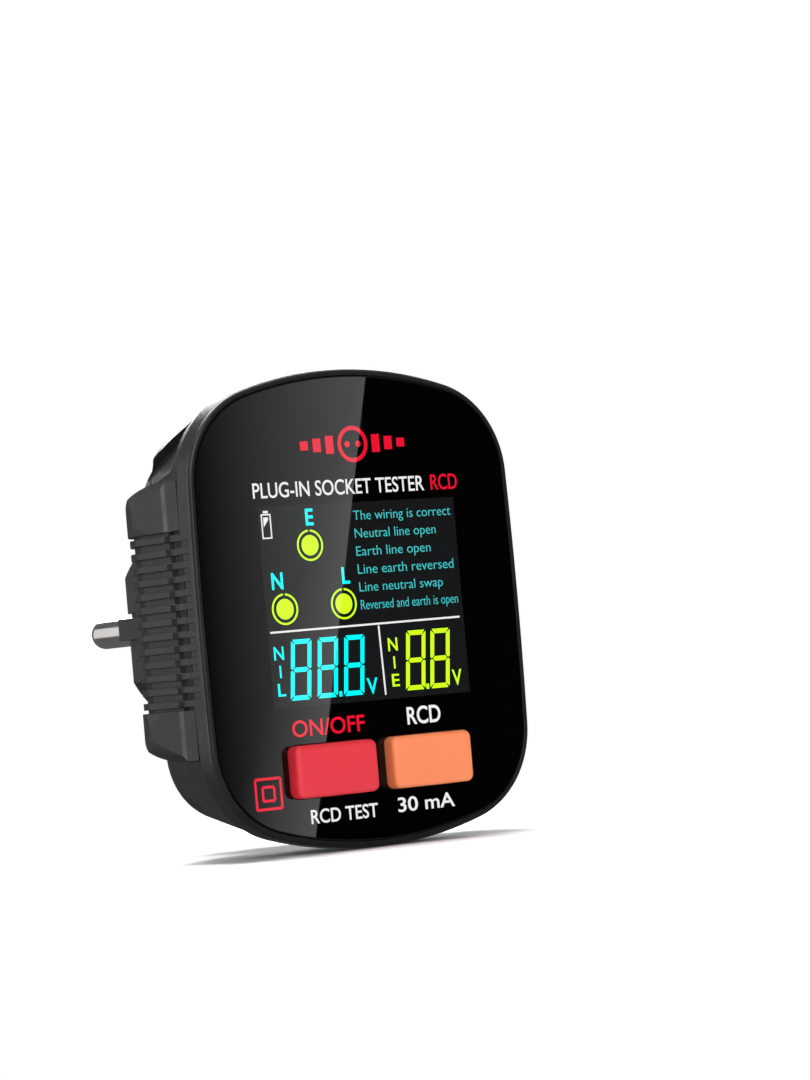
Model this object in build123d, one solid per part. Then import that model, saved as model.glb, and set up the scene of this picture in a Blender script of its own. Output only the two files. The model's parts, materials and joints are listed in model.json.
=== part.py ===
from build123d import *
import math
import os

os.makedirs("parts", exist_ok=True)

# Frame: origin at the centre of the plug's contact face, midway between the two pins.
# +Y points out of the plug along the pins, the display faces -Y, +Z is up.  Millimetres.

# ---------------------------------------------------------------- driving dimensions
PIN_PITCH = 19.0
PIN_R = 2.4
PIN_LENGTH = 19.0
PIN_SHANK_R = 2.2        # turned-down part inside the plug moulding
PIN_COLLAR = 0.6         # depth of the ring recess round each pin
PLUG_R = 17.6
PLUG_DEPTH = 18.0
DISPLAY_Y = -45.0

LENS_W = 29.5            # half width and half height of the display panel
LENS_H = 36.1
LENS_T = 1.6
SIDE_R = 690.0           # radii of the long side arcs and of the top and bottom arcs
TOP_R = 68.0
CORNER_R = 14.0

COVER_RIM = 1.15         # how far the front cover stands outside the display panel
COVER_BACK_Y = -41.35    # back edge of the front cover
SHELL_FRONT_Y = -41.15   # front edge of the rear shell: a fine shadow gap between them
SHELL_RIM = 0.85
SHOULDER_Y = -21.0       # where the rear shell's slope steepens
SHOULDER = (23.9, 32.2, 10.0)
SHOULDER_DROP = 0.5      # the lower half, round the battery bay, is a little fuller
SHOULDER_ROUND = 4.0
PLATEAU_ROUND = 1.5
PLATEAU_Y = -PLUG_DEPTH  # flat back that surrounds the plug
PLATEAU = (20.8, 21.7, 6.5)
WALL = 2.0
SLOPE_SHARE = 0.85       # part of an inset that sinks the shoulder rearwards
PANEL_RECESS = 0.9       # depth of the sunk panel on top of the shell
POCKET_RECESS = 0.95     # depth of the flat pockets across the shell's upper corners

GRIP_X = 31.3            # side grips: half width, half height and the ribbed scoop
GRIP_STRIP_X = 30.4      # flat strip in front of the fold, flush with the front cover
GRIP_FOLD_Y = -38.0
GRIP_TOP = 21.5
SCOOP_HALF = 13.65
RIB_COUNT = 13
RIB_PITCH = 2.1
RIB_W = 1.05
RIB_H = 0.8

LCD_W = 18.7             # half width of the display window, and its lower and upper edge
LCD_BOTTOM = -14.7
LCD_TOP = 16.3

BUTTON_W = 15.2
BUTTON_H = 8.1
BUTTON_X = 9.1
BUTTON_Z = -24.5
BUTTON_PROUD = 2.4
BUTTON_GAP = 0.15

EARTH_HOLE_Z = 10.0      # the hole for the earth pin of a French socket
EARTH_HOLE_R = 2.5
CHANNEL_W = 6.2          # earth clip channels at the top and bottom of the plug
CLIP_W = 5.8
CLIP_T = 0.6

CELL_R = 5.25            # two AAA cells
CELL_LENGTH = 44.5
CELLS = ((-26.4, -13.4), (-33.2, -21.7))     # y and z of the axes of the upper and lower cell

BOARD_T = 1.2
MAIN_BOARD_Y = -38.6     # back face of the display board
POWER_BOARD_Y = -24.2    # front face of the mains board
HEADER_Z = -4.0          # pins that join the two boards
# x, z and rear end of the four screw posts
SCREW_POSTS = [(sx * x, z, y) for sx in (-1, 1) for x, z, y in ((21.8, 25.2, -26.0), (25.0, -13.5, -32.2))]

DOOR_FRONT_Y = -38.4     # battery door
DOOR_T = 1.6
DOOR_SCREW_Z = -23.8
DOOR_HEAD_Y = -20.2      # outer face of the door screw's head


# ---------------------------------------------------------------- helpers
def at_y(y):
    """Sketch plane at a given y, seen from the display side: local x is X, local y is Z."""
    return Plane.XZ.offset(-y)


def prism(sketch, y0, y1):
    """Extrude an X-Z sketch from y0 to y1."""
    return extrude(at_y(y1) * sketch, amount=y1 - y0)


def outline(half_w, half_h, corner_r):
    """Barrel shape of four shallow arcs and four corner arcs, as an X-Z face."""
    side_c = half_w - SIDE_R
    top_c = half_h - TOP_R
    reach_side = SIDE_R - corner_r
    reach_top = TOP_R - corner_r
    gap = math.hypot(side_c, top_c)
    along = (reach_side**2 - reach_top**2 + gap**2) / (2 * gap)
    across = math.sqrt(reach_side**2 - along**2)
    ux, uz = -side_c / gap, top_c / gap
    corner = Vector(side_c + ux * along - uz * across, uz * along + ux * across)
    to_side = (corner - Vector(side_c, 0)).normalized()
    to_top = (corner - Vector(0, top_c)).normalized()
    p_side = corner + to_side * corner_r
    p_top = corner + to_top * corner_r
    p_mid = corner + (to_side + to_top).normalized() * corner_r

    def put(p, sx, sz):
        return (sx * p.X, sz * p.Y)

    edges = [
        ThreePointArc(put(p_side, 1, -1), (half_w, 0), put(p_side, 1, 1)),
        ThreePointArc(put(p_side, 1, 1), put(p_mid, 1, 1), put(p_top, 1, 1)),
        ThreePointArc(put(p_top, 1, 1), (0, half_h), put(p_top, -1, 1)),
        ThreePointArc(put(p_top, -1, 1), put(p_mid, -1, 1), put(p_side, -1, 1)),
        ThreePointArc(put(p_side, -1, 1), (-half_w, 0), put(p_side, -1, -1)),
        ThreePointArc(put(p_side, -1, -1), put(p_mid, -1, -1), put(p_top, -1, -1)),
        ThreePointArc(put(p_top, -1, -1), (0, -half_h), put(p_top, 1, -1)),
        ThreePointArc(put(p_top, 1, -1), put(p_mid, 1, -1), put(p_side, 1, -1)),
    ]
    return make_face(edges)


def panel_outline(grow):
    """The display panel's outline, grown by a margin."""
    return outline(LENS_W + grow, LENS_H + grow, CORNER_R + grow)


def box(x0, x1, y0, y1, z0, z1):
    return Pos((x0 + x1) / 2, (y0 + y1) / 2, (z0 + z1) / 2) * Box(x1 - x0, y1 - y0, z1 - z0)


def rod(x, z, r, y0, y1):
    """Cylinder along Y."""
    return prism(Pos(x, z) * Circle(r), y0, y1)


def rod_x(y, z, r, x0, x1):
    """Cylinder along X."""
    return Pos((x0 + x1) / 2, y, z) * Rot(0, 90, 0) * Cylinder(r, x1 - x0)


def rim_edges(solid, y):
    """The edges of a solid that lie wholly at one y."""
    def flat_at(edge):
        span = edge.bounding_box()
        return abs(span.min.Y - y) < 0.01 and abs(span.max.Y - y) < 0.01
    return [edge for edge in solid.edges() if flat_at(edge)]


def shell_body(inset):
    """The rear shell's outside, or the same shape sunk all round by an inset."""
    front = outline(LENS_W + SHELL_RIM - inset, LENS_H + SHELL_RIM - inset,
                    CORNER_R + SHELL_RIM - inset)
    shoulder = outline(SHOULDER[0] - inset, SHOULDER[1] - inset, SHOULDER[2] - inset / 2)
    plateau = outline(PLATEAU[0] - inset, PLATEAU[1] - inset, PLATEAU[2] - inset / 2)
    shoulder_y = SHOULDER_Y - inset * SLOPE_SHARE
    plateau_y = PLATEAU_Y - inset
    shoulder = at_y(shoulder_y) * (Pos(0, -SHOULDER_DROP) * shoulder)
    lower = loft([at_y(SHELL_FRONT_Y) * front, shoulder], ruled=True)
    upper = loft([shoulder, at_y(plateau_y) * plateau], ruled=True)
    body = lower + upper
    body = fillet(rim_edges(body, shoulder_y), SHOULDER_ROUND - inset)
    return fillet(rim_edges(body, plateau_y), PLATEAU_ROUND - inset / 2)


def grip_profile(side, sunk, fold):
    """X-Y section of a side grip: a front strip, a fold outwards, a flank that rounds off behind.

    sunk moves the whole flank inwards; fold is how far it steps out behind the strip."""
    strip_x = GRIP_STRIP_X - sunk
    flank_x = GRIP_X - sunk
    end = (side * (24.3 - sunk / 2), -20.4)
    front = Polyline((side * 22.0, SHELL_FRONT_Y), (side * strip_x, SHELL_FRONT_Y),
                     (side * strip_x, GRIP_FOLD_Y), (side * (strip_x + fold), GRIP_FOLD_Y + 0.8),
                     (side * flank_x, -29.5))
    bend = ThreePointArc(front @ 1, (side * (flank_x - 1.7), -25.0), end)
    back = Polyline(end, (side * 20.0, -18.6 - sunk), (side * 17.0, -18.6 - sunk),
                    (side * 17.0, -22.0), (side * 22.0, SHELL_FRONT_Y))
    return make_face([*front.edges(), bend, *back.edges()])


def grip_pad(side, sz):
    """Smooth pad above or below the ribs, bowed outwards along its height."""
    inner, outer = sz * SCOOP_HALF, sz * GRIP_TOP
    start = (side * (GRIP_X - 0.3), inner)
    end = (side * (GRIP_X - 1.0), outer)
    bow = ThreePointArc(start, (side * GRIP_X, sz * 17.0), end)
    sides = Polyline(end, (side * 17.0, outer), (side * 17.0, inner), start)
    face = make_face([bow, *sides.edges()])
    slab = extrude(Plane.XY.offset(min(inner, outer)) * grip_profile(side, 0.0, 0.3),
                   amount=GRIP_TOP - SCOOP_HALF)
    return slab & prism(face, SHELL_FRONT_Y - 1, PLATEAU_Y)


def grip(side):
    """One side grip: two smooth pads with a ribbed finger hold between them."""
    def slab(section, z0, z1):
        return extrude(Plane.XY.offset(z0) * section, amount=z1 - z0)

    rib_sunk = 0.3
    groove = grip_profile(side, rib_sunk + RIB_H, 0.6)
    rib = grip_profile(side, rib_sunk, 0.6)
    pieces = [grip_pad(side, 1), grip_pad(side, -1)]
    for i in range(RIB_COUNT):
        z = (i - (RIB_COUNT - 1) / 2) * RIB_PITCH
        pieces.append(slab(rib, z - RIB_W / 2, z + RIB_W / 2))
    solid = slab(groove, -SCOOP_HALF, SCOOP_HALF) + pieces
    # the pads' ends close in towards the plateau
    ends = [(SHELL_FRONT_Y, GRIP_TOP), (-35.0, 21.3), (-29.0, 20.0), (-24.0, 17.0), (PLATEAU_Y, 11.0)]
    top = Spline(*ends)
    foot = Spline(*[(y, -z) for y, z in ends])
    taper = make_face([*top.edges(), Line(top @ 1, foot @ 1), *foot.edges(), Line(foot @ 0, top @ 0)])
    return solid & extrude(Plane.YZ * taper, amount=side * 40)


def top_slope(y0, z0, y1, z1):
    """Plane on the shell's top centre line: local x is X, local y runs rearwards, z points out."""
    return Plane(origin=(0, y0, z0), x_dir=(1, 0, 0), z_dir=(0, z0 - z1, y1 - y0))


def sloped_recess(plane, half_w, v0, v1, depth, flare, end_flare):
    """Tool with a flat floor and walls that flare outwards, and a steeper wall at its far end."""
    rise = depth + 1.5
    low = Pos(0, (v0 + v1) / 2) * RectangleRounded(2 * half_w, v1 - v0, 3.0)
    v0_out, v1_out = v0 - flare * rise, v1 + end_flare * rise
    high = Pos(0, (v0_out + v1_out) / 2) * RectangleRounded(2 * (half_w + flare * rise), v1_out - v0_out, 7.5)
    return loft([plane.offset(-depth) * low, plane.offset(1.5) * high], ruled=True)


def top_recess():
    """Tool for the sunk panel that runs over the top of the shell and down its back slope."""
    front_z = LENS_H + SHELL_RIM
    shoulder_z = SHOULDER[1] - SHOULDER_DROP
    crown = 1.65                     # how far the curved top falls between its middle and the panel's sides
    half_w, flare = 13.9, 2.2
    over = top_slope(SHELL_FRONT_Y, front_z, SHOULDER_Y, shoulder_z)
    down = top_slope(SHOULDER_Y, shoulder_z, PLATEAU_Y, PLATEAU[1])
    tool = sloped_recess(over, half_w, 7.6, 26.0, PANEL_RECESS + crown, flare, 0.0)
    tool += sloped_recess(down, half_w, -8.0, 14.0, PANEL_RECESS + crown, flare, 0.0)
    tool -= shell_body(PANEL_RECESS)
    land = outline(PLATEAU[0] + 0.3, PLATEAU[1] + 0.3, PLATEAU[2] + 0.3)
    return tool - prism(land, SHOULDER_Y - 4, PLATEAU_Y + 4)


POCKET_PLANE = Plane(origin=(24.5, -30.0, 25.5), x_dir=(-0.234, 0.960, -0.152), z_dir=(0.805, 0.279, 0.524))


def pocket_face(grow):
    """Leaf-shaped outline of the flat pocket across the upper corner."""
    corners = [(-7.2, 5.2), (9.6, 1.7), (10.7, -0.4), (9.8, -2.3), (7.2, -3.5), (-7.6, -4.3), (-8.9, -1.5)]
    face = fillet(make_face(Polyline(*corners, close=True)).vertices(), 1.1)
    return offset(face, grow) if grow else face


def corner_pocket():
    """Tool for the flat pocket across the shell's upper corner on the +X side."""
    return extrude(POCKET_PLANE.offset(-POCKET_RECESS) * pocket_face(0), amount=12)


def pocket_backing():
    """Plate that keeps the wall's thickness behind the pocket; the pocket is cut into its top."""
    plate = extrude(POCKET_PLANE.offset(-POCKET_RECESS - 1.2) * pocket_face(0.4), amount=1.5)
    return plate & box(0, 40, -39.3, -18, 0, 40)


def door_window(clear):
    """X-Z outline of the battery door, grown by a clearance."""
    top, knee, side, foot = -20.9, -27.5, 23.4, -40.0
    half = 15.0
    return make_face(Polyline((-half - clear, top + clear), (half + clear, top + clear),
                              (side + clear, knee + clear), (side + clear, foot),
                              (-side - clear, foot), (-side - clear, knee + clear), close=True))


# ---------------------------------------------------------------- front half
def front_cover():
    """Bezel that holds the display panel, with a tongue that fits inside the rear shell."""
    plate_back = DISPLAY_Y + LENS_T + 1.4
    body = prism(panel_outline(COVER_RIM), DISPLAY_Y + 0.25, COVER_BACK_Y)
    body = fillet(body.edges().group_by(Axis.Y)[0], 0.7)
    body -= prism(panel_outline(0.12), DISPLAY_Y - 1, DISPLAY_Y + LENS_T)
    body -= prism(panel_outline(-1.1), plate_back, COVER_BACK_Y + 1)
    tongue = prism(panel_outline(-1.9), plate_back - 0.2, COVER_BACK_Y + 1.6)
    tongue -= prism(panel_outline(-3.1), plate_back - 1, COVER_BACK_Y + 2)
    body += tongue
    body += [rod(x, z, 2.8, plate_back - 0.1, SHELL_FRONT_Y + 0.3) for x, z, _ in SCREW_POSTS]
    cuts = [box(-LCD_W - 0.2, LCD_W + 0.2, DISPLAY_Y, COVER_BACK_Y, LCD_BOTTOM - 0.2, LCD_TOP + 0.2)]
    for side in (-1, 1):
        hole = Pos(side * BUTTON_X, BUTTON_Z) * RectangleRounded(BUTTON_W + 0.5, BUTTON_H + 0.5, 1.4)
        cuts.append(prism(hole, DISPLAY_Y, COVER_BACK_Y))
        x = side * (LENS_W + COVER_RIM)
        for i in range(RIB_COUNT - 1):
            z = (i - (RIB_COUNT - 2) / 2) * RIB_PITCH
            cuts.append(box(x - 0.35, x + 0.35, DISPLAY_Y + 1.6, COVER_BACK_Y + 0.1,
                            z - RIB_W / 2, z + RIB_W / 2))
    for x, z, _ in SCREW_POSTS:
        cuts.append(rod(x, z, 1.25, DISPLAY_Y, SHELL_FRONT_Y + 2))
        cuts.append(rod(x, z, 3.2, SHELL_FRONT_Y + 0.3, COVER_BACK_Y + 2))
        cuts.append(rod(x, z, 2.5, DISPLAY_Y, DISPLAY_Y + LENS_T + 1.3))
    return body - cuts


def display_lens():
    """Gloss panel over the whole front, with openings for the two keys."""
    lens = prism(panel_outline(0), DISPLAY_Y, DISPLAY_Y + LENS_T)
    lens = chamfer(lens.edges().group_by(Axis.Y)[0], 0.2)
    for side in (-1, 1):
        hole = Pos(side * BUTTON_X, BUTTON_Z) * RectangleRounded(
            BUTTON_W + 2 * BUTTON_GAP, BUTTON_H + 2 * BUTTON_GAP, 1.3)
        lens -= prism(hole, DISPLAY_Y - 1, DISPLAY_Y + LENS_T + 1)
    return lens


KEY_BACK_Y = COVER_BACK_Y
KEY_FLOOR_Y = KEY_BACK_Y - 1.1           # floor of the key's pocket, which rests on the stem
SWITCH_SIZE = 4.5
SWITCH_TOP_Y = MAIN_BOARD_Y - BOARD_T - 1.5


def button(side):
    """Rounded key cap with a flange that the front cover keeps in."""
    x = side * BUTTON_X
    cap = prism(Pos(x, BUTTON_Z) * RectangleRounded(BUTTON_W, BUTTON_H, 1.2),
                DISPLAY_Y - BUTTON_PROUD, KEY_BACK_Y)
    cap = fillet(cap.edges().group_by(Axis.Y)[0], 0.8)
    cap += prism(Pos(x, BUTTON_Z) * RectangleRounded(BUTTON_W + 1.4, BUTTON_H + 2.0, 1.6),
                 KEY_BACK_Y - 0.6, KEY_BACK_Y)
    pocket = Pos(x, BUTTON_Z) * RectangleRounded(BUTTON_W - 2.4, BUTTON_H - 2.4, 0.8)
    return cap - prism(pocket, KEY_FLOOR_Y, KEY_BACK_Y + 1)


def switch_stem(side):
    """The tactile switch's stem, which the key cap pushes."""
    return rod(side * BUTTON_X, BUTTON_Z, 1.1, KEY_FLOOR_Y, SWITCH_TOP_Y + 0.2)


def switch_bodies():
    """Two tactile switches on the display board, each with a well for its stem."""
    half = SWITCH_SIZE / 2
    parts = []
    for side in (-1, 1):
        x = side * BUTTON_X
        case = box(x - half, x + half, SWITCH_TOP_Y, MAIN_BOARD_Y - BOARD_T,
                   BUTTON_Z - half, BUTTON_Z + half)
        parts.append(case - rod(x, BUTTON_Z, 1.2, SWITCH_TOP_Y - 1, SWITCH_TOP_Y + 1.4))
    return Compound(children=parts)


def lcd_glass():
    y0 = DISPLAY_Y + LENS_T + 0.05
    return box(-LCD_W, LCD_W, y0, y0 + 1.1, LCD_BOTTOM, LCD_TOP)


def lcd_backlight():
    y0 = DISPLAY_Y + LENS_T + 1.15
    return box(-LCD_W, LCD_W, y0, y0 + 2.0, LCD_BOTTOM, LCD_TOP)


def lcd_ribbon():
    """Flexible tail that runs from the display's lower edge back to the board."""
    return box(-9, 9, DISPLAY_Y + LENS_T + 1.6, MAIN_BOARD_Y - BOARD_T, LCD_BOTTOM - 0.5, LCD_BOTTOM - 0.1)


def main_board():
    board = prism(panel_outline(-5.2), MAIN_BOARD_Y - BOARD_T, MAIN_BOARD_Y)
    return board - [rod(x, z, 3.4, MAIN_BOARD_Y - 3, MAIN_BOARD_Y + 1) for x, z, _ in SCREW_POSTS]


def control_chip():
    chip = box(-5, 5, MAIN_BOARD_Y, MAIN_BOARD_Y + 1.2, 4, 14)
    return chip - rod(-3.8, 12.8, 0.5, MAIN_BOARD_Y + 1.0, MAIN_BOARD_Y + 2)


# ---------------------------------------------------------------- rear half
def plug_outline(clear=0.0):
    """Plug section: a disc with a flat on each side and a guide rib on each flat."""
    flat_x, flat_z, rib_x = 15.4, 9.2, 17.4
    disc = Circle(PLUG_R + clear)
    for side in (-1, 1):
        disc -= Pos(side * (flat_x + clear + 2), 0) * Rectangle(4, 2 * flat_z)
        disc += Pos(side * (rib_x + clear - 2.5), 0.15) * Rectangle(5, 3.5 + 2 * clear)
    return disc


def rear_shell():
    outer = shell_body(0) - top_recess()
    pocket, backing = corner_pocket(), pocket_backing()
    outer += [grip(-1), grip(1)]
    half = CELL_LENGTH / 2 + 1.7
    upper_y, upper_z = CELLS[0]
    lower_y, lower_z = CELLS[1]
    outer -= [
        shell_body(WALL),
        prism(panel_outline(SHELL_RIM - WALL), SHELL_FRONT_Y - 1, SHELL_FRONT_Y + 0.3),
        prism(door_window(0.15), DOOR_FRONT_Y - 0.15, PLATEAU_Y + 1),
        prism(plug_outline(0.15), -30, PLATEAU_Y + 1),
        rod_x(upper_y, upper_z, CELL_R + 0.15, -half + 1.3, half - 1.3),
        box(-half, half, upper_y - 3.1, upper_y + 2.8, upper_z - 3.8, upper_z + 3.8),
        rod_x(lower_y, lower_z, CELL_R + 0.15, -half, half),
    ]
    inside = shell_body(0.5)
    added = [rod(x, z, 3.0, SHELL_FRONT_Y + 0.4, y) & inside for x, z, y in SCREW_POSTS]
    added += [backing, mirror(backing, Plane.YZ)]
    for side in (-1, 1):
        wall = box(half, half + 1.2, lower_y - 4, lower_y + 4, lower_z - 3.5, lower_z + 5)
        added.append((wall if side > 0 else mirror(wall, Plane.YZ)) & inside)
    added.append(box(-3, 3, -26.4, -23.5, -25.3, -19.4))
    added.append(box(-3, 3, -23.6, -19.9, -20.7, -19.4))
    outer += added
    outer -= [pocket, mirror(pocket, Plane.YZ)]
    outer -= [rod(x, z, 1.0, SHELL_FRONT_Y, -32) for x, z, _ in SCREW_POSTS]
    return outer - rod(0, DOOR_SCREW_Z, 1.05, -27, -23)


def battery_door():
    """Curved door over the battery bay, with a sunk pillar for its screw."""
    window = prism(door_window(0), DOOR_FRONT_Y, PLATEAU_Y + 1)
    door = (shell_body(0) - shell_body(DOOR_T)) & window
    door += rod(0, DOOR_SCREW_Z, 2.8, -23.2, -19) & shell_body(0.2)
    door -= rod(0, DOOR_SCREW_Z, 2.3, DOOR_HEAD_Y - 1.0, PLATEAU_Y)
    return door - rod(0, DOOR_SCREW_Z, 1.15, -24, -20)


def battery_door_screw():
    screw = rod(0, DOOR_SCREW_Z, 2.0, DOOR_HEAD_Y - 1.0, DOOR_HEAD_Y)
    screw += rod(0, DOOR_SCREW_Z, 1.0, -26.2, DOOR_HEAD_Y - 1.0)
    screw -= box(-1.3, 1.3, DOOR_HEAD_Y - 0.6, DOOR_HEAD_Y + 1, DOOR_SCREW_Z - 0.22, DOOR_SCREW_Z + 0.22)
    screw -= box(-0.22, 0.22, DOOR_HEAD_Y - 0.6, DOOR_HEAD_Y + 1, DOOR_SCREW_Z - 1.3, DOOR_SCREW_Z + 1.3)
    return screw


def plug_body():
    """Plug moulding with a flange inside the case, pin bores and earth clip channels."""
    body = prism(plug_outline(), PLATEAU_Y - WALL - 0.1, 0)
    body = fillet(body.edges().group_by(Axis.Y)[-1], 0.4)
    flange = prism(Pos(0, 5.6) * RectangleRounded(36.4, 26.2, 6.8), PLATEAU_Y - WALL - 1.5,
                   PLATEAU_Y - WALL - 0.05)
    body += flange
    half = CHANNEL_W / 2
    cuts = [
        box(-half, half, -PLUG_DEPTH, 1, 13.55, 20),
        box(-half, half, -PLUG_DEPTH, 1, -20, -14.0),
        box(-half, half, -1.3, 1, -14.1, -11.1),
        prism(Pos(0, 8.2) * RectangleRounded(10.8, 12.4, 1.2), -1.2, 1),
        box(-3.0, 3.0, -1.2, 1, 1.2, 3.0),
        box(-2.1, 2.1, -23, 0, 12.85, 13.56),
        box(-1.6, 1.6, PLATEAU_Y - WALL - 0.05, PLATEAU_Y - WALL + 0.65, -14.1, 13.5),
        box(-1.6, 1.6, -22, -19.9, -8.0, -6.0),
        rod(0, EARTH_HOLE_Z, 2.9, -16.1, 0),
    ]
    for side in (-1, 1):
        x = side * PIN_PITCH / 2
        cuts.append(rod(x, 0, PIN_SHANK_R, -30, 1))
        cuts.append(rod(x, 0, 3.3, -PIN_COLLAR, 1))
        cuts.append(rod(x, 0, 3.2, -30, -18.0))
        slot_x = side * 15.4
        cuts.append(box(slot_x - 0.9, slot_x + 0.9, -PLUG_DEPTH, 1, 1.9, 2.7))
    return body - cuts


def pin(side):
    """Solid 4.8 mm pin with a ball end and a shoulder that bears on the plug moulding."""
    x = side * PIN_PITCH / 2
    shaft = rod(x, 0, PIN_R, -PIN_COLLAR, PIN_LENGTH - PIN_R)
    shaft += Pos(x, PIN_LENGTH - PIN_R, 0) * Sphere(PIN_R)
    return shaft + [rod(x, 0, PIN_SHANK_R, -25.4, -PIN_COLLAR), rod(x, 0, 3.2, -22.4, -18.0)]


def earth_clip_upper():
    """Earth contact plate on the plug's face, folded over the channel and led back inside."""
    face_y = 0.05
    plate = box(-2.95, 2.95, face_y - CLIP_T, face_y, 11.5, 14.15)
    plate += [
        box(-4.4, 4.4, face_y - CLIP_T, face_y, 6.8, 12.0),
        box(-2.75, 2.75, face_y - CLIP_T, face_y, 1.6, 7.0),
        box(-2.95, 2.95, -2.6, face_y, 13.55, 14.15),
        box(-2.0, 2.0, -25.0, face_y - 0.1, 12.9, 13.5),
    ]
    return plate - rod(0, EARTH_HOLE_Z, EARTH_HOLE_R, -1, 1)


def earth_clip_lower():
    """Earth contact leaf in the lower channel, folded up over the plug's face."""
    half = CLIP_W / 2
    leaf = box(-half, half, -17.9, -0.3, -14.65, -14.05)
    leaf += box(-half, half, -0.9, -0.3, -14.65, -11.3)
    return leaf


def earth_strap():
    """Strap behind the plug moulding that joins the two earth clips."""
    y0 = PLATEAU_Y - WALL
    return box(-1.5, 1.5, y0, y0 + 0.6, -13.9, 12.85)


def earth_socket_tube():
    tube = rod(0, EARTH_HOLE_Z, 2.85, -16.0, -0.6)
    tube -= rod(0, EARTH_HOLE_Z, EARTH_HOLE_R, -15.2, 0)
    return tube


def power_board():
    board = box(-18.8, 18.8, POWER_BOARD_Y, POWER_BOARD_Y + BOARD_T, -7.6, 20.8)
    for side in (-1, 1):
        board -= rod(side * PIN_PITCH / 2, 0, PIN_R + 0.1, -30, -20)
    board -= box(-2.1, 2.1, -30, -20, 12.8, 13.6)
    return board


def board_header():
    """Row of pins and its spacer that join the mains board to the display board."""
    spacer = box(-8, 8, MAIN_BOARD_Y, POWER_BOARD_Y, HEADER_Z - 1.3, HEADER_Z + 1.3)
    return spacer - box(-6, 6, MAIN_BOARD_Y + 3, POWER_BOARD_Y - 3, HEADER_Z - 2, HEADER_Z + 2)


def load_resistors():
    """Two ceramic power resistors that draw the test current."""
    return Compound(children=[
        box(-18.2, -2, POWER_BOARD_Y - 6.2, POWER_BOARD_Y, 14.2, 20.2),
        box(2, 18.2, POWER_BOARD_Y - 6.2, POWER_BOARD_Y, 14.2, 20.2),
    ])


def mains_capacitor():
    block = box(5.5, 18.5, POWER_BOARD_Y - 9.5, POWER_BOARD_Y, 5.5, 12.5)
    return fillet(block.edges().group_by(Axis.Y)[0], 0.8)


def test_relay():
    block = box(-19, -4, POWER_BOARD_Y - 10.0, POWER_BOARD_Y, 4.5, 12.0)
    return chamfer(block.edges().group_by(Axis.Y)[0], 0.5)


def input_fuse():
    """Cylindrical fuse beside the line pin, with its two end caps."""
    y = POWER_BOARD_Y - 2.0
    body = rod_x(y, -6.0, 1.6, -17, -9.5)
    return body + [rod_x(y, -6.0, 1.9, -18.5, -16.5), rod_x(y, -6.0, 1.9, -10.5, -8.5)]


# ---------------------------------------------------------------- batteries and fasteners
def battery_cell(index, plus):
    """AAA cell with its raised contact at the end that plus points to."""
    y, z = CELLS[index]
    half = CELL_LENGTH / 2
    can = rod_x(y, z, CELL_R, -half, half - 0.8)
    can = fillet(can.edges(), 0.4)
    can += rod_x(y, z, 1.9, half - 1, half)
    return can if plus > 0 else mirror(can, Plane.YZ)


def battery_contacts():
    """Flat contact plate at the plus end of each cell."""
    half = CELL_LENGTH / 2
    upper_y, upper_z = CELLS[0]
    lower_y, lower_z = CELLS[1]
    return Compound(children=[
        box(half, half + 0.5, upper_y - 3, upper_y + 2.6, upper_z - 3.5, upper_z + 3.5),
        box(-half - 0.5, -half, lower_y - 3, lower_y + 3, lower_z - 3.0, lower_z + 3.5),
    ])


def battery_springs():
    """Short coil spring at the minus end of each cell."""
    half = CELL_LENGTH / 2
    wire = 0.25
    coils = []
    for (y, z), end in zip(CELLS, (-1, 1)):
        path = Helix(pitch=0.55, height=1.1, radius=2.4)
        start = Plane(origin=path @ 0, z_dir=path % 0)
        coil = sweep(start * Circle(wire), path=path, is_frenet=True)
        x = end * (half + 0.3) if end > 0 else -(half + 0.3) - 1.1
        coils.append(Pos(x, y, z) * Rot(0, 90, 0) * coil)
    return Compound(children=coils)


def case_screws():
    """Four self-tapping screws, set under the display panel, that close the case."""
    y0 = DISPLAY_Y + LENS_T + 0.1
    screws = []
    for x, z, _ in SCREW_POSTS:
        screw = rod(x, z, 2.2, y0, y0 + 1.2) + rod(x, z, 1.0, y0 + 1.2, y0 + 11)
        screw -= box(x - 1.5, x + 1.5, y0 - 1, y0 + 0.6, z - 0.25, z + 0.25)
        screw -= box(x - 0.25, x + 0.25, y0 - 1, y0 + 0.6, z - 1.5, z + 1.5)
        screws.append(screw)
    return Compound(children=screws)


NODES = {
    "front_cover": front_cover,
    "display_lens": display_lens,
    "lcd_glass": lcd_glass,
    "lcd_backlight": lcd_backlight,
    "lcd_ribbon": lcd_ribbon,
    "power_button": lambda: button(-1),
    "rcd_button": lambda: button(1),
    "power_switch_stem": lambda: switch_stem(-1),
    "rcd_switch_stem": lambda: switch_stem(1),
    "switch_bodies": switch_bodies,
    "main_board": main_board,
    "control_chip": control_chip,
    "board_header": board_header,
    "power_board": power_board,
    "load_resistors": load_resistors,
    "mains_capacitor": mains_capacitor,
    "test_relay": test_relay,
    "input_fuse": input_fuse,
    "rear_shell": rear_shell,
    "plug_body": plug_body,
    "line_pin": lambda: pin(-1),
    "neutral_pin": lambda: pin(1),
    "earth_clip_upper": earth_clip_upper,
    "earth_clip_lower": earth_clip_lower,
    "earth_strap": earth_strap,
    "earth_socket_tube": earth_socket_tube,
    "battery_door": battery_door,
    "battery_door_screw": battery_door_screw,
    "battery_cell_upper": lambda: battery_cell(0, 1),
    "battery_cell_lower": lambda: battery_cell(1, -1),
    "battery_contacts": battery_contacts,
    "battery_springs": battery_springs,
    "case_screws": case_screws,
}

for name, build in NODES.items():
    export_step(build(), f"parts/{name}.step")
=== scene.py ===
import json
import math

import bmesh
import bpy
from mathutils import Matrix, Vector


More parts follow.
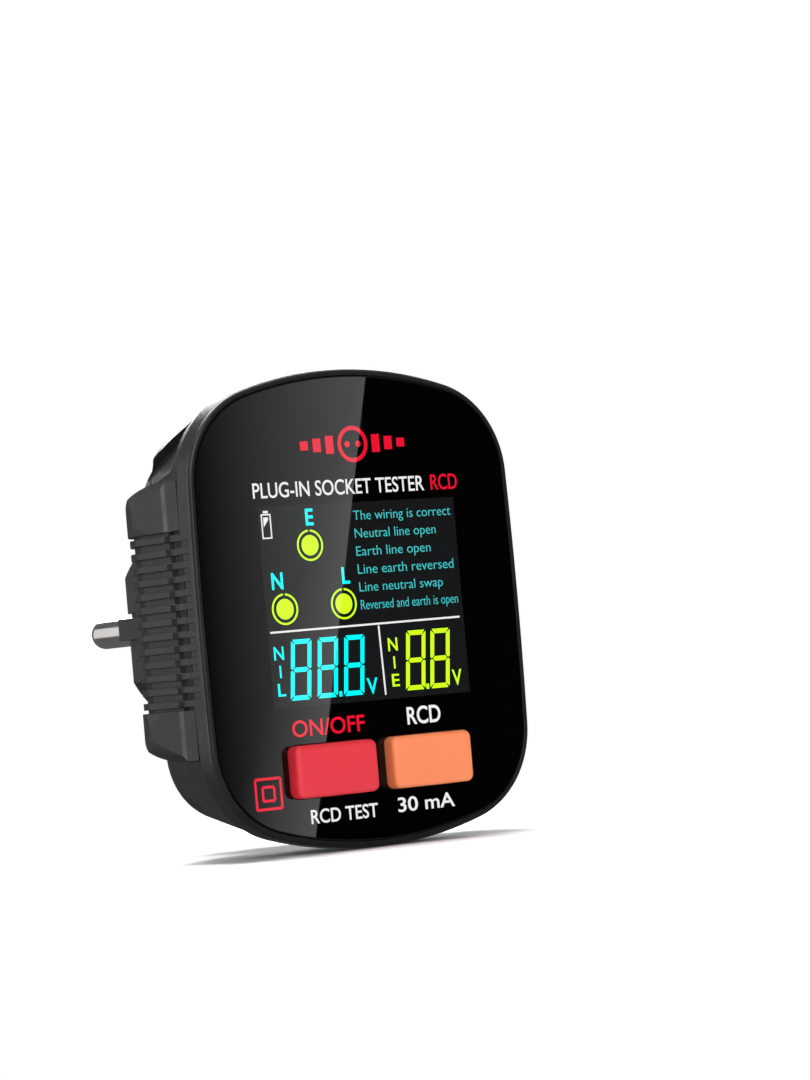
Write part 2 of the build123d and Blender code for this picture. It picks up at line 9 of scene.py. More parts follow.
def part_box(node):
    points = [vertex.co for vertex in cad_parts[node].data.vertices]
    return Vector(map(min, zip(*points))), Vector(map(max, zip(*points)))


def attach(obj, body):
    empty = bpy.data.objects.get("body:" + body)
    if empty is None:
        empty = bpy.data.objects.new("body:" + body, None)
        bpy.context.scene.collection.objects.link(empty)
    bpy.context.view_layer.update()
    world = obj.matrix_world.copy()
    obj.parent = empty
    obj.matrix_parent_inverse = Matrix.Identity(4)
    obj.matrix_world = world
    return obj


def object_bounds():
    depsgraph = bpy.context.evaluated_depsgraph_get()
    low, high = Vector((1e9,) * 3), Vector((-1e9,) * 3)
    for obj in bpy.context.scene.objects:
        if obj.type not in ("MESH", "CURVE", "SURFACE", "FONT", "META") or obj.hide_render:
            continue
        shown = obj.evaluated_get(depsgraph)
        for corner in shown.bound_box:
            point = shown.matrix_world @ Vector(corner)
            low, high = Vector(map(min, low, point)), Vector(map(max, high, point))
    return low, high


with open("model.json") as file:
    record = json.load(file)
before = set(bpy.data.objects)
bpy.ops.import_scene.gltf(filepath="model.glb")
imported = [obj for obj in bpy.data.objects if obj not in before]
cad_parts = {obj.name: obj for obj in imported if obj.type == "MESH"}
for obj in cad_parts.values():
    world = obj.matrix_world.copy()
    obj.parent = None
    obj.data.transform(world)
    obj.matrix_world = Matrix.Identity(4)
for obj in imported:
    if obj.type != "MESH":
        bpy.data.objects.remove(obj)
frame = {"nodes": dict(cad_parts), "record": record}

# Places on the display panel are (x, z) in millimetres, like the CAD. The rest is in metres.
CAD_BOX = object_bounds()
MM = 0.001
HOUSING = "housing"
LENS_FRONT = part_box("display_lens")[0].y     # y of the display panel's front face
PRINT_T = 0.025 * MM                         # thickness of one layer of printed and lit shapes
LAYER_FILL = 0.98                            # share of a layer that a shape fills, so faces don't coincide
GROUND_LAYER = 1                             # the display's dark ground
INK_LAYER = 2                                # the inks and lit segments over it

NOISE_SPAN = (0.3, 0.7)                      # where nearly all of a noise texture's values fall

PANEL_GLOSS = 0.008                          # roughness of the polished panel and its inks
PANEL_SPECULAR = 0.42
INK_DEPTH = 0.35                             # share of an ink's colour that is paint and not glow
MOULD_EDGE = 0.15 * MM                       # radius that moulded edges are softened to
METAL_EDGE = 0.08 * MM
KEY_EDGE = 0.3 * MM

# The display. A box is left, right, bottom, top
SCREEN = (-18.6, 18.9, -14.6, 16.35)
LAMPS = (                                    # name, letter, lamp's centre, letter's centre and half width
    ("earth", "E", (-9.35, 10.05), -9.05, 0.72),
    ("neutral", "N", (-15.0, 0.5), -16.0, 1.05),
    ("line", "L", (-3.95, 0.7), -3.15, 0.72),
)
LAMP_RING = (2.12, 2.42)                     # inner and outer radius
LAMP_RING_ARC = (95, 445)                    # degrees, which leaves a small gap at the top
LAMP_DOT_R = 1.58
LAMP_LETTER = (3.05, 5.65)                   # foot and head, above the lamp's centre

STATUS_LEFT = -0.75
STATUS_TOP = 13.25                           # the first row's base line
STATUS_PITCH = 2.79
STATUS_HEAD = 1.75                           # top of the letters, above the base line
STATUS_FOOT = 0.25                           # their bottom, in words without tails
STATUS_TAIL = -0.2                           # and in words with tails
STATUS_ROWS = (                              # words, right end
    ("The wiring is correct", 18.1),
    ("Neutral line open", 14.9),
    ("Earth line open", 13.6),
    ("Line earth reversed", 17.8),
    ("Line neutral swap", 15.4),
    ("Reversed and earth is open", 18.1),
)

DIGIT_FOOT = -13.55
DIGIT_HEIGHT = 9.3
DIGIT_LEAN = 1.0                             # how far a digit's head is shifted to the right
BAR_T = 0.72                                 # thickness of a segment
BAR_GAP = 0.13                               # dark line between segments
MITRE = 0.1                                  # how far a segment's ends stay inside the corner
POINT_HALF = 0.27
POINT_HEIGHT = 0.8
READINGS = (                                 # name, left, digits, width, pitch, digits before the point, ink
    ("mains", -15.4, 3, 3.8, 5.0, 2, "screen_cyan"),
    ("earth", 6.45, 2, 3.75, 4.75, 1, "screen_lime"),
)
UNITS = (
    ("mains", (-0.9, 1.1, -13.6, -11.1), "screen_cyan"),
    ("earth", (15.65, 17.5, -13.4, -10.9), "screen_lime"),
)
PAIRS = (("mains", -16.75, "L", "screen_cyan"), ("earth", 4.75, "E", "screen_lime"))
PAIR_FROM = (-1.0, 0.8, -7.2, -5.15)         # boxes whose left and right are counted from the pair's x
PAIR_BAR = (-0.22, 0.08, -9.95, -8.05)
PAIR_TO = (-0.8, 0.6, -12.75, -10.8)

RULES = ((-18.1, -2.95, 18.1, -2.65), (2.25, -3.1, 2.5, -13.9))   # x and z of each line's ends
RULE_T = 0.3
BATTERY = (-17.9, -16.3, 11.5, 15.1)
BATTERY_T = 0.22
BATTERY_LAP = 0.1                            # how far the ends of the sign pass its sides
BATTERY_CAP = (0.35, 0.2, 0.6)               # step in from the sides, foot and head above the top
BATTERY_CHARGE = ((-17.6, 13.2), (-16.7, 14.3), (-16.7, 14.7), (-17.6, 14.7))

# Printed round the display, in inks that glow with painted brightness: name, words, box, ink, heaviness
PRINTS = (
    ("print_title", "PLUG-IN SOCKET TESTER", (-19.1, 13.4, 17.6, 20.0), "print_white", 0.008),
    ("print_title_end", "RCD", (14.7, 19.9, 17.6, 20.1), "print_red", 0.008),
    ("print_power", "ON/OFF", (-15.6, -2.0, -19.2, -16.6), "print_red", 0.012),
    ("print_rcd", "RCD", (6.2, 12.7, -18.9, -16.1), "print_white", 0.016),
    ("print_test", "RCD TEST", (-13.5, -0.9, -32.6, -30.4), "print_white", 0.012),
    ("print_rating", "30 mA", (3.0, 14.0, -32.3, -30.0), "print_white", 0.012),
)
STATUS_HEAVY = -0.006
UNIT_HEAVY = 0.01
LETTER_HEAVY = 0.02

SYMBOL = (0.3, 25.4)                         # centre of the socket symbol
SYMBOL_RING = (2.2, 2.85)
SYMBOL_HOLE_X = 1.05
SYMBOL_HOLE_R = 0.5
SYMBOL_BAR_X = 4.4                           # from the centre to the first bar beside the ring
SYMBOL_BAR_PITCH = 2.4
SYMBOL_BAR_HALF = (0.75, 1.4)                # half width and half height of the first bar
SYMBOL_BAR_STEP = 0.35                       # how much shorter each next bar is, at each end
SQUARE = (-20.9, -27.3)                      # centre of the double square
SQUARE_HALVES = (2.3, 1.05)
SQUARE_T = 0.42

# The studio, in metres, watts and degrees
CAMERA_PLACE = (-0.3342, -0.5140, -0.0118)
CAMERA_AZIMUTH = 36.18
CAMERA_ELEVATION = 2.146
CAMERA_ROLL = 5.01
CAMERA_LENS = 123.6                          # focal length in millimetres, on a sensor 36 wide
CENTRE = (0, -0.02, 0)
PINS = (-0.01, 0.01, 0)
LIGHTS = (                                   # name, place, target, size, power
    ("key_overhead", (-0.02, 0.08, 0.6), CENTRE, (0.4, 0.3), 9.5),
    ("side_strip", (-0.62, 0.16, 0.10), CENTRE, (0.16, 0.5), 1.5),
    ("pin_glow", (-0.42, 0.55, 0.08), PINS, (0.40, 0.45), 0.4),
    ("front_fill", (-0.30, -0.75, 0.30), CENTRE, (0.4, 0.3), 2.8),
    ("rear_fill", (0.35, 0.55, 0.35), CENTRE, (0.4, 0.3), 4.0),
)
FLOOR_HALF = 0.3
FLOOR_FADE = (0.11, 0.26)                    # distances at which the floor starts and ends fading out
ROOM_GREY = (0.12, 0.12, 0.125, 1)

GLARE = (0.1, 2.1)                           # brightness of the bright card at its faint end and its edge
GLARE_FADE = (0.1, 1.0)                      # where across the card it starts and stops rising
CARD_REACH = 2.1                             # distance of the cards, in mirrored camera to panel distances
# Lower and upper point of each card's borders, where the panel mirrors them
FAINT_END = ((-33, -42), (-33, 42))
SHARP_EDGE = ((-14.7, -42), (5.4, 42))
DARK_END = ((70, -60), (70, 60))


# ---------------------------------------------------------------- materials
def new_material(name, color, roughness, metallic=0.0, specular=0.5):
    mat = bpy.data.materials.new(name)
    mat.use_nodes = True
    shader = mat.node_tree.nodes["Principled BSDF"]
    shader.inputs["Base Color"].default_value = (*color, 1)
    shader.inputs["Roughness"].default_value = roughness
    shader.inputs["Metallic"].default_value = metallic
    shader.inputs["Specular IOR Level"].default_value = specular
    return mat, mat.node_tree, shader


def noise(tree, scale, detail, stretch=(1, 1, 1)):
    """Noise in object space; scale is features per metre."""
    coords = tree.nodes.new("ShaderNodeTexCoord")
    mapping = tree.nodes.new("ShaderNodeMapping")
    mapping.inputs["Scale"].default_value = stretch
    tex = tree.nodes.new("ShaderNodeTexNoise")
    tex.inputs["Scale"].default_value = scale
    tex.inputs["Detail"].default_value = detail
    tree.links.new(coords.outputs["Object"], mapping.inputs["Vector"])
    tree.links.new(mapping.outputs["Vector"], tex.inputs["Vector"])
    return tex.outputs["Fac"]


def remap(tree, value, low, high, span=NOISE_SPAN):
    """Stretch the values in span to low..high."""
    node = tree.nodes.new("ShaderNodeMapRange")
    node.inputs["From Min"].default_value = span[0]
    node.inputs["From Max"].default_value = span[1]
    node.inputs["To Min"].default_value = low
    node.inputs["To Max"].default_value = high
    tree.links.new(value, node.inputs["Value"])
    return node.outputs["Result"]


def tint(tree, value, dark, light):
    """Colour that runs from dark to light over a noise texture's values."""
    ramp = tree.nodes.new("ShaderNodeValToRGB")
    for stop, color, position in zip(ramp.color_ramp.elements, (dark, light), NOISE_SPAN):
        stop.color = (*color, 1)
        stop.position = position
    tree.links.new(value, ramp.inputs["Fac"])
    return ramp.outputs["Color"]


def add_bump(tree, shader, height, strength, distance, edge):
    """Bump over softened edges: edge is the radius in metres that sharp corners are rounded to."""
    bump = tree.nodes.new("ShaderNodeBump")
    bump.inputs["Strength"].default_value = strength
    bump.inputs["Distance"].default_value = distance
    tree.links.new(height, bump.inputs["Height"])
    bevel = tree.nodes.new("ShaderNodeBevel")
    bevel.samples = 6
    bevel.inputs["Radius"].default_value = edge
    tree.links.new(bevel.outputs["Normal"], bump.inputs["Normal"])
    tree.links.new(bump.outputs["Normal"], shader.inputs["Normal"])


def moulded(name, color, roughness, grain=0.25, vary=0.25):
    """Moulded plastic: fine spark-eroded grain, faint mottling in colour and gloss."""
    mat, tree, shader = new_material(name, color, roughness)
    mottling = noise(tree, 90, 4)
    wear = noise(tree, 260, 5)
    spark_grain = noise(tree, 5200, 2)
    dark = [c * (1 - vary) for c in color]
    light = [min(1, c * (1 + vary)) for c in color]
    tree.links.new(tint(tree, mottling, dark, light), shader.inputs["Base Color"])
    tree.links.new(remap(tree, wear, roughness - 0.05, roughness + 0.06), shader.inputs["Roughness"])
    add_bump(tree, shader, spark_grain, grain, 0.02 * MM, MOULD_EDGE)
    return mat


def polished(name, color, roughness, scratch=(1, 1, 1), scratch_scale=2500, depth=0.06):
    """Plated metal with faint polishing marks; scratch is small along the marks' length."""
    mat, tree, shader = new_material(name, color, roughness, metallic=1.0)
    marks = noise(tree, scratch_scale, 4, scratch)
    stain = noise(tree, 150, 3)
    tree.links.new(remap(tree, marks, roughness * 0.6, roughness * 1.7), shader.inputs["Roughness"])
    tree.links.new(tint(tree, stain, [c * 0.93 for c in color], color), shader.inputs["Base Color"])
    add_bump(tree, shader, marks, depth, 0.01 * MM, METAL_EDGE)
    return mat


def lens_material():
    """Black-printed acrylic: deep black under a face that is polished almost evenly."""
    mat, tree, shader = new_material("lens_black_acrylic", (0.0008, 0.0008, 0.0009), PANEL_GLOSS,
                                     specular=PANEL_SPECULAR)
    haze = noise(tree, 60, 5)
    tree.links.new(remap(tree, haze, 0.004, 0.012), shader.inputs["Roughness"])
    return mat


def lit(name, color, glow):
    """Display ink, lit or printed, with the panel's own polish over it. Its emission is real light for the
    lit display and painted brightness for the inks printed round the display, which are no lamp.
    """
    mat, tree, shader = new_material(name, [c * INK_DEPTH for c in color], PANEL_GLOSS,
                                     specular=PANEL_SPECULAR)
    shader.inputs["Emission Strength"].default_value = glow
    flicker = noise(tree, 700, 2)
    tree.links.new(tint(tree, flicker, [c * 0.94 for c in color], color), shader.inputs["Emission Color"])
    return mat


def key_material(name, color):
    """Soft-touch silicone key: satin, slightly translucent, with a faint mottling."""
    mat, tree, shader = new_material(name, color, 0.48)
    mottling = noise(tree, 120, 3)
    skin = noise(tree, 6500, 2)
    tree.links.new(tint(tree, mottling, [c * 0.95 for c in color], color), shader.inputs["Base Color"])
    shader.inputs["Subsurface Weight"].default_value = 0.12
    shader.inputs["Subsurface Scale"].default_value = 0.8 * MM
    shader.inputs["Subsurface Radius"].default_value = (1.0, 0.4, 0.25)
    add_bump(tree, shader, skin, 0.18, 0.015 * MM, KEY_EDGE)
    return mat


MATERIALS = {
    "case_black": moulded("case_black", (0.0095, 0.0095, 0.0105), 0.40),
    "door_black": moulded("door_black", (0.005, 0.005, 0.0055), 0.42),
    "plug_black": moulded("plug_black", (0.0085, 0.0085, 0.0095), 0.44, grain=0.3),
    "lens_black": lens_material(),
    "screen_glass": polished("screen_glass", (0.05, 0.055, 0.06), 0.08),
    "light_guide_white": moulded("light_guide_white", (0.75, 0.76, 0.78), 0.35, vary=0.04),
    "ribbon_amber": moulded("ribbon_amber", (0.5, 0.24, 0.04), 0.3, vary=0.1),
    "key_red": key_material("key_red", (0.80, 0.028, 0.048)),
    "key_orange": key_material("key_orange", (1.0, 0.27, 0.105)),
    "component_black": moulded("component_black", (0.015, 0.015, 0.016), 0.5),
    "board_green": moulded("board_green", (0.012, 0.11, 0.045), 0.3, vary=0.15),
    "resistor_ceramic": moulded("resistor_ceramic", (0.72, 0.70, 0.64), 0.7, grain=0.6, vary=0.08),
    "capacitor_yellow": moulded("capacitor_yellow", (0.75, 0.5, 0.04), 0.28, vary=0.08),
    "relay_blue": moulded("relay_blue", (0.02, 0.08, 0.34), 0.25, vary=0.1),
    "fuse_ceramic": moulded("fuse_ceramic", (0.78, 0.76, 0.7), 0.25, vary=0.05),
    "pin_nickel": polished("pin_nickel", (0.80, 0.775, 0.75), 0.13, scratch=(1, 0.06, 1), depth=0.12),
    "clip_nickel": polished("clip_nickel", (0.83, 0.80, 0.75), 0.26, scratch=(0.1, 1, 1),
                            scratch_scale=9000, depth=0.01),
    "strap_brass": polished("strap_brass", (0.62, 0.50, 0.34), 0.28),
    "screw_black": polished("screw_black", (0.06, 0.06, 0.065), 0.35),
    "cell_sleeve": moulded("cell_sleeve", (0.03, 0.16, 0.09), 0.25, vary=0.1),
    "contact_steel": polished("contact_steel", (0.62, 0.62, 0.62), 0.25),
    "screw_steel": polished("screw_steel", (0.58, 0.58, 0.6), 0.25),
    # print_white and print_red glow although printed ink is no lamp: that glow is painted brightness.
    # print_white also draws the lit display's dividers and battery sign.
    "print_white": lit("print_white", (0.92, 0.93, 0.94), 0.62),
    "print_red": lit("print_red", (0.93, 0.008, 0.035), 0.6),
    "screen_black": lit("screen_black", (0.0105, 0.011, 0.0118), 0.55),
    "screen_cyan": lit("screen_cyan", (0.0, 0.93, 0.95), 1.0),
    "screen_teal": lit("screen_teal", (0.05, 0.50, 0.50), 0.85),
    "screen_lime": lit("screen_lime", (0.55, 1.0, 0.012), 0.95),
}


def dress_cad_nodes():
    for row in frame["record"]["subparts"]:
        node = frame["nodes"][row["node"]]
        node.data.materials.clear()
        node.data.materials.append(MATERIALS[row["material_slot"]])


# ---------------------------------------------------------------- shapes on the panel
def add_piece(name, mesh, ink):
    """Put a mesh on the housing in one ink, which is both its material."""
    piece = bpy.data.objects.new(name, mesh)
    bpy.context.scene.collection.objects.link(piece)
    piece.data.materials.clear()
    piece.data.materials.append(MATERIALS[ink])
    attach(piece, HOUSING)


def flat_shapes(name, outlines, ink, layer=INK_LAYER):
    """Thin solids on the display panel. outlines are closed loops of (x, z) in millimetres."""
    bm = bmesh.new()
    front = LENS_FRONT - layer * PRINT_T
    for loop in outlines:
        verts = [bm.verts.new((x * MM, front, z * MM)) for x, z in loop]
        face = bm.faces.new(verts)
        extruded = bmesh.ops.extrude_face_region(bm, geom=[face])
        moved = [g for g in extruded["geom"] if isinstance(g, bmesh.types.BMVert)]
        bmesh.ops.translate(bm, verts=moved, vec=(0, PRINT_T * LAYER_FILL, 0))
    bmesh.ops.recalc_face_normals(bm, faces=bm.faces)
    mesh = bpy.data.meshes.new(name)
    bm.to_mesh(mesh)
    bm.free()
    add_piece(name, mesh, ink)


def rect(x0, x1, z0, z1):
    return [(x0, z0), (x1, z0), (x1, z1), (x0, z1)]


def stroke(x0, z0, x1, z1, width):
    """A straight bar between two points."""
    dx, dz = x1 - x0, z1 - z0
    length = math.hypot(dx, dz)
    nx, nz = -dz / length * width / 2, dx / length * width / 2
    return [(x0 - nx, z0 - nz), (x1 - nx, z1 - nz), (x1 + nx, z1 + nz), (x0 + nx, z0 + nz)]


def disc(cx, cz, radius, sides=64):
    angles = [2 * math.pi * i / sides for i in range(sides)]
    return [(cx + radius * math.cos(a), cz + radius * math.sin(a)) for a in angles]


def arc_band(cx, cz, radii, start, end, steps=64):
    """Part of a ring between two angles in degrees, as a run of small quads."""
    inner, outer = radii
    quads = []
    for i in range(steps):
        a = math.radians(start + (end - start) * i / steps)
        b = math.radians(start + (end - start) * (i + 1) / steps)
        quads.append([(cx + r * math.cos(t), cz + r * math.sin(t))
                      for r, t in ((inner, a), (outer, a), (outer, b), (inner, b))])
    return quads


def label(name, words, box, ink, heavy):
    """Printed words, stretched to fill box on the display panel."""
    x0, x1, z0, z1 = box
    curve = bpy.data.curves.new(name, "FONT")
    curve.body = words
    curve.size = 1.0
    curve.offset = heavy
    curve.resolution_u = 5
    curve.extrude = 0.5
    probe = bpy.data.objects.new(name, curve)
    bpy.context.scene.collection.objects.link(probe)
    bpy.context.view_layer.update()
    mesh = bpy.data.meshes.new_from_object(probe.evaluated_get(bpy.context.evaluated_depsgraph_get()))
    bpy.data.objects.remove(probe)
    low = Vector([min(v.co[i] for v in mesh.vertices) for i in range(3)])
    high = Vector([max(v.co[i] for v in mesh.vertices) for i in range(3)])
    for v in mesh.vertices:
        across = (v.co.x - low.x) / (high.x - low.x)
        upward = (v.co.y - low.y) / (high.y - low.y)
        depth = (v.co.z - low.z) / (high.z - low.z)
        v.co = ((x0 + across * (x1 - x0)) * MM, LENS_FRONT - (INK_LAYER - 1 + depth) * PRINT_T,
                (z0 + upward * (z1 - z0)) * MM)
    add_piece(name, mesh, ink)


def segment_digit(x, width):
    """Seven lit segments of a leaning digit; x is its left edge at the foot."""
    height = DIGIT_HEIGHT
    mid = height / 2
    half_t = BAR_T / 2
    long_edge = BAR_GAP + MITRE              # start of a head or foot bar's outer edge, from the corner
    short_edge = BAR_T + BAR_GAP - MITRE     # and of its inner edge
    side_edge = BAR_T + BAR_GAP - MITRE / 2  # the same for an upright's inner edge
    middle_edge = BAR_T + BAR_GAP            # and for the middle bar
    middle_tip = BAR_T * 0.55 + BAR_GAP
    bars = [
        [(long_edge, height), (width - long_edge, height), (width - short_edge, height - BAR_T),
         (short_edge, height - BAR_T)],
        [(long_edge, 0), (short_edge, BAR_T), (width - short_edge, BAR_T), (width - long_edge, 0)],
        [(middle_tip, mid), (middle_edge, mid + half_t), (width - middle_edge, mid + half_t),
         (width - middle_tip, mid), (width - middle_edge, mid - half_t), (middle_edge, mid - half_t)],
    ]
    for outside, inward in ((0, 1), (width, -1)):
        inside = outside + inward * BAR_T
        tip = outside + inward * BAR_T * 0.45
        for end, turn in ((0, 1), (height, -1)):      # lower upright, then the upper one mirrored
            bars.append([(outside, end + turn * long_edge), (inside, end + turn * side_edge),
                         (inside, mid - turn * (half_t + BAR_GAP)), (tip, mid - turn * BAR_GAP * 0.6),
                         (outside, mid - turn * half_t * 0.6)])
    return [[(x + bx + DIGIT_LEAN * bz / height, DIGIT_FOOT + bz) for bx, bz in bar] for bar in bars]


# ---------------------------------------------------------------- what the display shows
def build_lamps():
    """Three socket contacts, each a dot in a ring under its letter."""
    foot, head = LAMP_LETTER
    for mark, letter, (cx, cz), letter_x, half in LAMPS:
        flat_shapes(f"screen_{mark}_ring", arc_band(cx, cz, LAMP_RING, *LAMP_RING_ARC), "screen_lime")
        flat_shapes(f"screen_{mark}_dot", [disc(cx, cz, LAMP_DOT_R)], "screen_lime")
        label(f"screen_{mark}_letter", letter, (letter_x - half, letter_x + half, cz + foot, cz + head),
              "screen_cyan", LETTER_HEAVY)


def build_status_rows():
    for i, (words, right) in enumerate(STATUS_ROWS):
        base = STATUS_TOP - STATUS_PITCH * i
        has_tails = set(words) & set("gpqy")
        foot = base + (STATUS_TAIL if has_tails else STATUS_FOOT)
        label(f"screen_status_{i + 1}", words, (STATUS_LEFT, right, foot, base + STATUS_HEAD),
              "screen_teal", STATUS_HEAVY)


def build_rules():
    flat_shapes("screen_dividers", [stroke(*ends, RULE_T) for ends in RULES], "print_white")


def build_battery_sign():
    left, right, foot, head = BATTERY
    cap_in, cap_foot, cap_head = BATTERY_CAP
    shapes = [stroke(left - BATTERY_LAP, z, right + BATTERY_LAP, z, BATTERY_T) for z in (head, foot)]
    shapes += [stroke(x, foot, x, head, BATTERY_T) for x in (left, right)]
    shapes += [rect(left + cap_in, right - cap_in, head + cap_foot, head + cap_head), BATTERY_CHARGE]
    flat_shapes("screen_battery_symbol", shapes, "print_white")


def build_readings():
    """The two voltages, their units, and the letters of the contacts that each is between."""
    for name, left, count, width, pitch, before_point, ink in READINGS:
        bars = []
        for i in range(count):
            bars += segment_digit(left + i * pitch, width)
        point = left + before_point * pitch - (pitch - width) / 2
        bars.append(rect(point - POINT_HALF, point + POINT_HALF, DIGIT_FOOT, DIGIT_FOOT + POINT_HEIGHT))
        flat_shapes(f"screen_{name}_reading", bars, ink)
    for name, box, ink in UNITS:
        label(f"screen_{name}_unit", "V", box, ink, UNIT_HEAVY)
    for name, x, last, ink in PAIRS:
        upper, bar, lower = [(x + box[0], x + box[1], *box[2:]) for box in (PAIR_FROM, PAIR_BAR, PAIR_TO)]
        label(f"screen_{name}_from", "N", upper, ink, UNIT_HEAVY)
        flat_shapes(f"screen_{name}_bar", [rect(*bar)], ink)
        label(f"screen_{name}_to", last, lower, ink, UNIT_HEAVY)


def build_screen():
    flat_shapes("screen_ground", [rect(*SCREEN)], "screen_black", GROUND_LAYER)
    build_lamps()
    build_status_rows()
    build_rules()
    build_battery_sign()
    build_readings()


def socket_symbol():
    """A plain socket face between two rows of bars."""
    cx, cz = SYMBOL
    half_w, half_h = SYMBOL_BAR_HALF
    shapes = arc_band(cx, cz, SYMBOL_RING, 0, 360)
    shapes += [disc(cx + side * SYMBOL_HOLE_X, cz, SYMBOL_HOLE_R, 24) for side in (-1, 1)]
    for side in (-1, 1):
        for i in range(3):
            x = cx + side * (SYMBOL_BAR_X + i * SYMBOL_BAR_PITCH)
            tall = half_h - SYMBOL_BAR_STEP * i
            shapes.append(rect(x - half_w, x + half_w, cz - tall, cz + tall))
    return shapes


def double_square():
    cx, cz = SQUARE
    shapes = []
    for half in SQUARE_HALVES:
        for x0, z0, x1, z1 in ((-1, -1, 1, -1), (1, -1, 1, 1), (1, 1, -1, 1), (-1, 1, -1, -1)):
            shapes.append(stroke(cx + x0 * half, cz + z0 * half, cx + x1 * half, cz + z1 * half, SQUARE_T))
    return shapes


def build_prints():
    """Words and symbols printed on the panel, round the display, in inks whose glow is painted brightness.
    """
    for print_row in PRINTS:
        label(*print_row)
    flat_shapes("print_socket_symbol", socket_symbol(), "print_red")
    flat_shapes("print_double_square", double_square(), "print_red")


# ---------------------------------------------------------------- studio
def build_camera():
    """Long lens, left of the display, nearly level, with the horizon rolled."""
    azimuth = math.radians(CAMERA_AZIMUTH)
    elevation = math.radians(CAMERA_ELEVATION)
    roll = math.radians(CAMERA_ROLL)
    forward = Vector((math.sin(azimuth) * math.cos(elevation), math.cos(azimuth) * math.cos(elevation),
                      math.sin(elevation)))
    right = forward.cross(Vector((0, 0, 1))).normalized()
    up = right.cross(forward)
    turned_up = up * math.cos(roll) + right * math.sin(roll)
    turned_right = forward.cross(turned_up)
    data = bpy.data.cameras.new("camera")
    data.lens = CAMERA_LENS
    data.sensor_width = 36
    data.clip_start = 0.01
    camera = bpy.data.objects.new("camera", data)
    turn = Matrix((turned_right, turned_up, -forward)).transposed()
    camera.matrix_world = Matrix.Translation(CAMERA_PLACE) @ turn.to_4x4()
    bpy.context.scene.collection.objects.link(camera)
    bpy.context.scene.camera = camera


def card_material(name):
    """A black surface that glows only where its Strength is linked."""
    mat = bpy.data.materials.new(name)
    mat.use_nodes = True
    tree = mat.node_tree
    tree.nodes.clear()
    out = tree.nodes.new("ShaderNodeOutputMaterial")
    glow = tree.nodes.new("ShaderNodeEmission")
    glow.inputs["Strength"].default_value = 0.0
    tree.links.new(glow.outputs["Emission"], out.inputs["Surface"])
    return mat, tree, glow


def fade_across(mesh, tree, glow):
    """Make a card brighten from its faint end to its sharp edge."""
    uv = mesh.uv_layers.new(name="across")
    for loop, u in zip(uv.data, (0, 1, 1, 0)):
        loop.uv = (u, 0.5)
    coords = tree.nodes.new("ShaderNodeUVMap")
    coords.uv_map = "across"
    split = tree.nodes.new("ShaderNodeSeparateXYZ")
    tree.links.new(coords.outputs["UV"], split.inputs["Vector"])
    tree.links.new(remap(tree, split.outputs["X"], *GLARE, GLARE_FADE), glow.inputs["Strength"])


def build_cards():
    """A bright and a black card side by side; the panel mirrors the slanted line where they meet.

    A card's corners are points on the panel carried on, from the mirrored camera, to the card."""
    eye = bpy.context.scene.camera.matrix_world.translation
    mirrored = Vector((eye.x, 2 * LENS_FRONT - eye.y, eye.z))

    def cast(x, z):
        on_lens = Vector((x * MM, LENS_FRONT, z * MM))
        return mirrored + (on_lens - mirrored) * CARD_REACH

    for name, left, right in (("glare_card", FAINT_END, SHARP_EDGE), ("dark_card", SHARP_EDGE, DARK_END)):
        mesh = bpy.data.meshes.new(name)
        corners = (left[0], right[0], right[1], left[1])
        mesh.from_pydata([cast(x, z) for x, z in corners], [], [(0, 1, 2, 3)])
        mat, tree, glow = card_material(name)
        if name == "glare_card":
            fade_across(mesh, tree, glow)
        mesh.materials.append(mat)
        card = bpy.data.objects.new(name, mesh)
        card.visible_camera = False
        card.visible_diffuse = False
        card.visible_shadow = False
        bpy.context.scene.collection.objects.link(card)


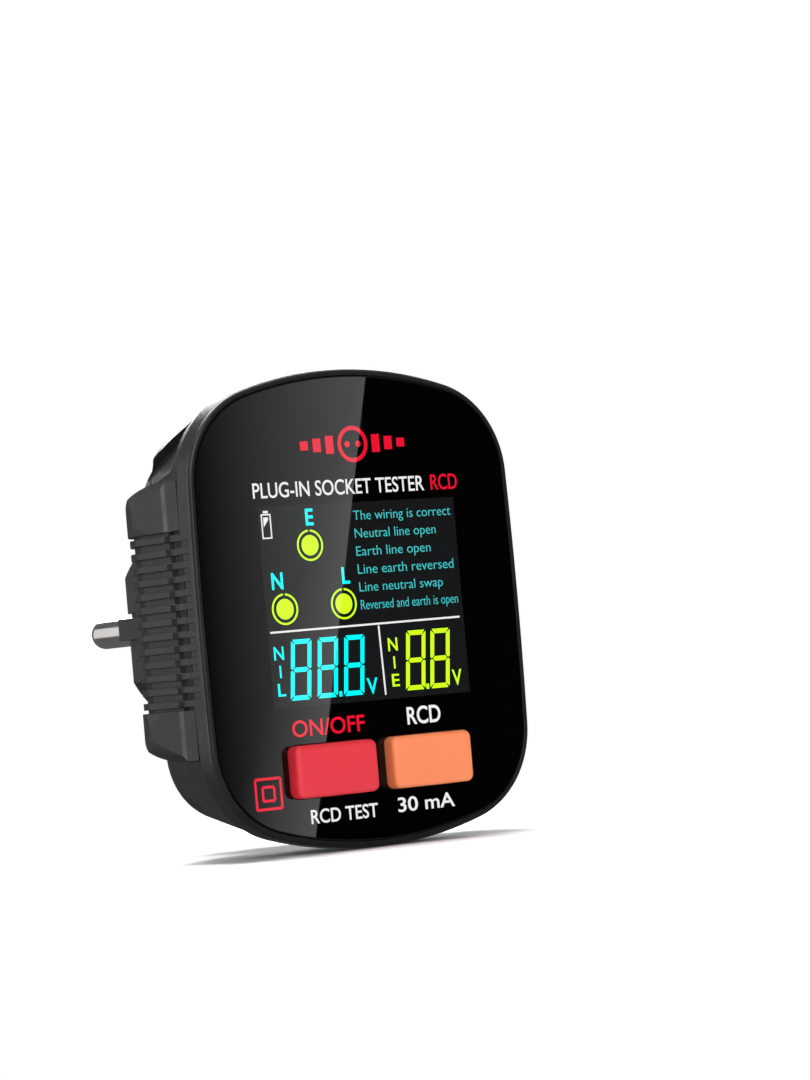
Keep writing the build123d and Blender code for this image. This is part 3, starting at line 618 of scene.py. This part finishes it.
def area_light(name, place, target, size, power):
    data = bpy.data.lights.new(name, "AREA")
    data.shape = "RECTANGLE"
    data.size, data.size_y = size
    data.energy = power
    light = bpy.data.objects.new(name, data)
    light.location = place
    light.rotation_euler = (Vector(target) - Vector(place)).to_track_quat("-Z", "Y").to_euler()
    bpy.context.scene.collection.objects.link(light)


def build_floor():
    """Pale paper under the object, which fades out before it would draw a horizon."""
    height = CAD_BOX[0][2]
    mesh = bpy.data.meshes.new("studio_floor")
    corners = rect(-FLOOR_HALF, FLOOR_HALF, -FLOOR_HALF, FLOOR_HALF)
    mesh.from_pydata([(x, y, height) for x, y in corners], [], [(0, 1, 2, 3)])
    mat, tree, shader = new_material("studio_paper", (0.86, 0.86, 0.86), 0.7, specular=0.0)
    coords = tree.nodes.new("ShaderNodeTexCoord")
    distance = tree.nodes.new("ShaderNodeVectorMath")
    distance.operation = "LENGTH"
    tree.links.new(coords.outputs["Object"], distance.inputs[0])
    solid = remap(tree, distance.outputs["Value"], 1.0, 0.0, FLOOR_FADE)
    tree.links.new(solid, shader.inputs["Alpha"])
    mesh.materials.append(mat)
    floor = bpy.data.objects.new("studio_floor", mesh)
    floor.visible_glossy = False
    bpy.context.scene.collection.objects.link(floor)


def build_world():
    """White surroundings for the camera, a dim grey room for everything that lights or is mirrored."""
    world = bpy.data.worlds.new("studio")
    bpy.context.scene.world = world
    world.use_nodes = True
    tree = world.node_tree
    tree.nodes.clear()
    out = tree.nodes.new("ShaderNodeOutputWorld")
    seen = tree.nodes.new("ShaderNodeBackground")
    seen.inputs["Color"].default_value = (1, 1, 1, 1)
    room = tree.nodes.new("ShaderNodeBackground")
    room.inputs["Color"].default_value = ROOM_GREY
    path = tree.nodes.new("ShaderNodeLightPath")
    mix = tree.nodes.new("ShaderNodeMixShader")
    tree.links.new(path.outputs["Is Camera Ray"], mix.inputs["Fac"])
    tree.links.new(room.outputs["Background"], mix.inputs[1])
    tree.links.new(seen.outputs["Background"], mix.inputs[2])
    tree.links.new(mix.outputs["Shader"], out.inputs["Surface"])


def build_studio():
    build_world()
    build_floor()
    build_camera()
    for light in LIGHTS:
        area_light(*light)
    build_cards()
    bpy.context.scene.view_settings.view_transform = "Standard"


dress_cad_nodes()
build_screen()
build_prints()
build_studio()
